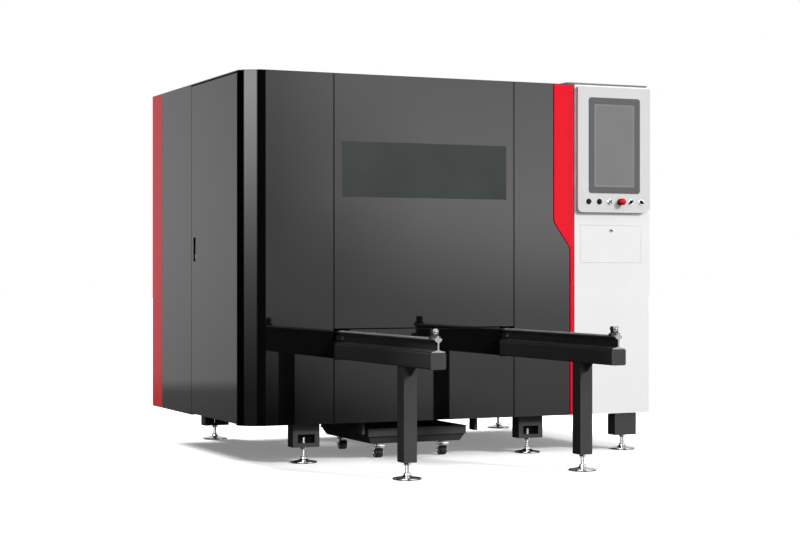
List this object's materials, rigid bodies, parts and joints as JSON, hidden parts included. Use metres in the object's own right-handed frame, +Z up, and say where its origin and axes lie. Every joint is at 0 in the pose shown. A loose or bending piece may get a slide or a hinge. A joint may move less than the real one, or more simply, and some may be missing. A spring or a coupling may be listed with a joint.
{
  "type": "laser cutting machine",
  "caption": "Enclosed sheet-metal laser cutter: dark cabinet with lifting windowed front door, pull-out slat table on outboard rails, control column with touch screen, scrap cart.",
  "frame": {"origin": "on the floor under the middle of the whole machine, rails and feet included", "axes": "+Z up; -Y is the front, where the table runs out; +X is to the right seen from the front, where the control column stands"},
  "size_m": [2.465, 2.8722, 2.082],
  "materials": {
    "frame_black": "satin",
    "panel_black": "gloss",
    "signal_red": "gloss",
    "column_white": "satin",
    "housing_grey": "satin",
    "bezel_grey": "matt",
    "screen_grey": "gloss",
    "window_glass": "gloss",
    "chrome_steel": "polished",
    "zinc_steel": "satin",
    "ground_steel": "satin",
    "slat_steel": "rough",
    "head_aluminium": "satin",
    "nozzle_copper": "polished",
    "wheel_rubber": "matt",
    "switch_black": "satin",
    "stop_red": "gloss",
    "galvanised_sheet": "satin"
  },
  "bodies": {
    "machine": {"bed_frame": "frame_black", "enclosure_frame": "frame_black", "levelling_feet": "chrome_steel", "fasteners": "zinc_steel", "corner_column": "panel_black", "front_left_panel": "panel_black", "front_right_panel": "panel_black", "red_front_band": "signal_red", "lower_front_panel": "panel_black", "roof_panel": "panel_black", "left_rear_panel": "panel_black", "right_side_panel": "panel_black", "red_rear_trims": "signal_red", "rear_panels": "panel_black", "column_shell": "column_white", "column_cap": "housing_grey", "monitor_housing": "housing_grey", "monitor_bezel": "bezel_grey", "touch_screen": "screen_grey", "door_guides": "ground_steel", "door_cylinders": "head_aluminium", "table_rails": "frame_black", "rail_beams": "frame_black", "rail_posts": "frame_black", "rail_splices": "frame_black", "rail_end_stops": "frame_black", "gantry_guides": "ground_steel", "scrap_hopper": "galvanised_sheet", "laser_source": "housing_grey"},
    "lifting_door": {"lift_door": "panel_black", "door_window": "window_glass", "cylinder_rods": "chrome_steel"},
    "side_door": {"side_door": "panel_black", "handle_housing": "switch_black"},
    "side_handle": {"handle_lever": "chrome_steel"},
    "table": {"table_frame": "frame_black", "table_slats": "slat_steel"},
    "gantry": {"gantry_beam": "frame_black"},
    "carriage": {"head_carriage": "head_aluminium"},
    "cutting_head": {"cutting_head": "head_aluminium", "cutting_nozzle": "nozzle_copper"},
    "cart": {"scrap_cart": "frame_black"},
    "start_button": {"start_button": "switch_black"},
    "pause_button": {"pause_button": "switch_black"},
    "key_switch": {"key_switch": "switch_black"},
    "emergency_stop": {"emergency_stop": "stop_red"},
    "mode_selector": {"mode_selector": "switch_black"},
    "light_selector": {"light_selector": "switch_black"},
    "keyboard_flap": {"keyboard_flap": "column_white"},
    "flap_lock": {"flap_lock": "chrome_steel"},
    "table_wheel_front_left": {"table_wheel_front_left": "ground_steel"},
    "table_wheel_front_right": {"table_wheel_front_right": "ground_steel"},
    "table_wheel_rear_left": {"table_wheel_rear_left": "ground_steel"},
    "table_wheel_rear_right": {"table_wheel_rear_right": "ground_steel"},
    "swivel_fork_left": {"swivel_fork_left": "chrome_steel"},
    "cart_wheel_front_left": {"cart_wheel_front_left": "wheel_rubber"},
    "cart_wheel_rear_left": {"cart_wheel_rear_left": "wheel_rubber"},
    "swivel_fork_right": {"swivel_fork_right": "chrome_steel"},
    "cart_wheel_front_right": {"cart_wheel_front_right": "wheel_rubber"},
    "cart_wheel_rear_right": {"cart_wheel_rear_right": "wheel_rubber"}
  },
  "joints": [
    {"name": "table_slide", "type": "slide", "parent": "machine", "child": "table", "axis": [0, -1, 0], "range_m": [0, 1.38]},
    {"name": "door_lift", "type": "slide", "parent": "machine", "child": "lifting_door", "axis": [0, 0, 1], "range_m": [0, 0.56]},
    {"name": "table_wheel_front_left_spin", "type": "hinge", "parent": "table", "child": "table_wheel_front_left", "pos_m": [-0.676, 0.06375, 0.7433], "axis": [1, 0, 0], "continuous": true},
    {"name": "table_wheel_front_right_spin", "type": "hinge", "parent": "table", "child": "table_wheel_front_right", "pos_m": [0.306, 0.06375, 0.7433], "axis": [1, 0, 0], "continuous": true},
    {"name": "table_wheel_rear_left_spin", "type": "hinge", "parent": "table", "child": "table_wheel_rear_left", "pos_m": [-0.676, 1.18375, 0.7433], "axis": [1, 0, 0], "continuous": true},
    {"name": "table_wheel_rear_right_spin", "type": "hinge", "parent": "table", "child": "table_wheel_rear_right", "pos_m": [0.306, 1.18375, 0.7433], "axis": [1, 0, 0], "continuous": true},
    {"name": "gantry_travel", "type": "slide", "parent": "machine", "child": "gantry", "axis": [0, -1, 0], "range_m": [0, 1.04]},
    {"name": "carriage_travel", "type": "slide", "parent": "gantry", "child": "carriage", "axis": [1, 0, 0], "range_m": [-0.4, 0.4]},
    {"name": "head_travel", "type": "slide", "parent": "carriage", "child": "cutting_head", "axis": [0, 0, -1], "range_m": [0, 0.075]},
    {"name": "side_door_hinge", "type": "hinge", "parent": "machine", "child": "side_door", "pos_m": [-1.2245, -0.13525, 1.137], "axis": [0, 0, 1], "range_deg": [0, 100]},
    {"name": "side_handle_pull", "type": "hinge", "parent": "side_door", "child": "side_handle", "pos_m": [-1.2215, 0.58625, 1.085], "axis": [0, -1, 0], "range_deg": [0, 30]},
    {"name": "cart_slide", "type": "slide", "parent": "machine", "child": "cart", "axis": [0, -1, 0], "range_m": [0, 0.9]},
    {"name": "swivel_fork_left_turn", "type": "hinge", "parent": "cart", "child": "swivel_fork_left", "pos_m": [-0.3905, -0.07125, 0.07], "axis": [0, 0, 1], "continuous": true},
    {"name": "cart_wheel_front_left_spin", "type": "hinge", "parent": "swivel_fork_left", "child": "cart_wheel_front_left", "pos_m": [-0.3905, -0.05525, 0.026], "axis": [1, 0, 0], "continuous": true},
    {"name": "cart_wheel_rear_left_spin", "type": "hinge", "parent": "cart", "child": "cart_wheel_rear_left", "pos_m": [-0.3905, 0.45875, 0.026], "axis": [1, 0, 0], "continuous": true},
    {"name": "swivel_fork_right_turn", "type": "hinge", "parent": "cart", "child": "swivel_fork_right", "pos_m": [-0.0045, -0.07125, 0.07], "axis": [0, 0, 1], "continuous": true},
    {"name": "cart_wheel_front_right_spin", "type": "hinge", "parent": "swivel_fork_right", "child": "cart_wheel_front_right", "pos_m": [-0.0045, -0.05525, 0.026], "axis": [1, 0, 0], "continuous": true},
    {"name": "cart_wheel_rear_right_spin", "type": "hinge", "parent": "cart", "child": "cart_wheel_rear_right", "pos_m": [-0.0045, 0.45875, 0.026], "axis": [1, 0, 0], "continuous": true},
    {"name": "start_button_press", "type": "slide", "parent": "machine", "child": "start_button", "axis": [0, 1, 0], "range_m": [0, 0.003], "stiffness_N_per_m": 800, "springref_m": -0.002},
    {"name": "pause_button_press", "type": "slide", "parent": "machine", "child": "pause_button", "axis": [0, 1, 0], "range_m": [0, 0.003], "stiffness_N_per_m": 800, "springref_m": -0.002},
    {"name": "emergency_stop_press", "type": "slide", "parent": "machine", "child": "emergency_stop", "axis": [0, 1, 0], "range_m": [0, 0.006]},
    {"name": "key_switch_turn", "type": "hinge", "parent": "machine", "child": "key_switch", "pos_m": [0.9537, -0.26125, 1.412], "axis": [0, 1, 0], "range_deg": [0, 90]},
    {"name": "mode_selector_turn", "type": "hinge", "parent": "machine", "child": "mode_selector", "pos_m": [1.0909, -0.26125, 1.412], "axis": [0, 1, 0], "range_deg": [-45, 45]},
    {"name": "light_selector_turn", "type": "hinge", "parent": "machine", "child": "light_selector", "pos_m": [1.1595, -0.26125, 1.412], "axis": [0, 1, 0], "range_deg": [-45, 45]},
    {"name": "keyboard_flap_hinge", "type": "hinge", "parent": "machine", "child": "keyboard_flap", "pos_m": [0.9725, -0.23225, 1.071], "axis": [1, 0, 0], "range_deg": [0, 90]},
    {"name": "flap_lock_turn", "type": "hinge", "parent": "keyboard_flap", "child": "flap_lock", "pos_m": [0.9725, -0.23925, 1.25], "axis": [0, 1, 0], "range_deg": [0, 90]}
  ],
  "couplings": [
    {"joint": "door_lift", "follows": "table_slide", "ratio": 0.405},
    {"joint": "table_wheel_front_left_spin", "follows": "table_slide", "rad_per_m": 25},
    {"joint": "table_wheel_front_right_spin", "follows": "table_slide", "rad_per_m": 25},
    {"joint": "table_wheel_rear_left_spin", "follows": "table_slide", "rad_per_m": 25},
    {"joint": "table_wheel_rear_right_spin", "follows": "table_slide", "rad_per_m": 25}
  ]
}
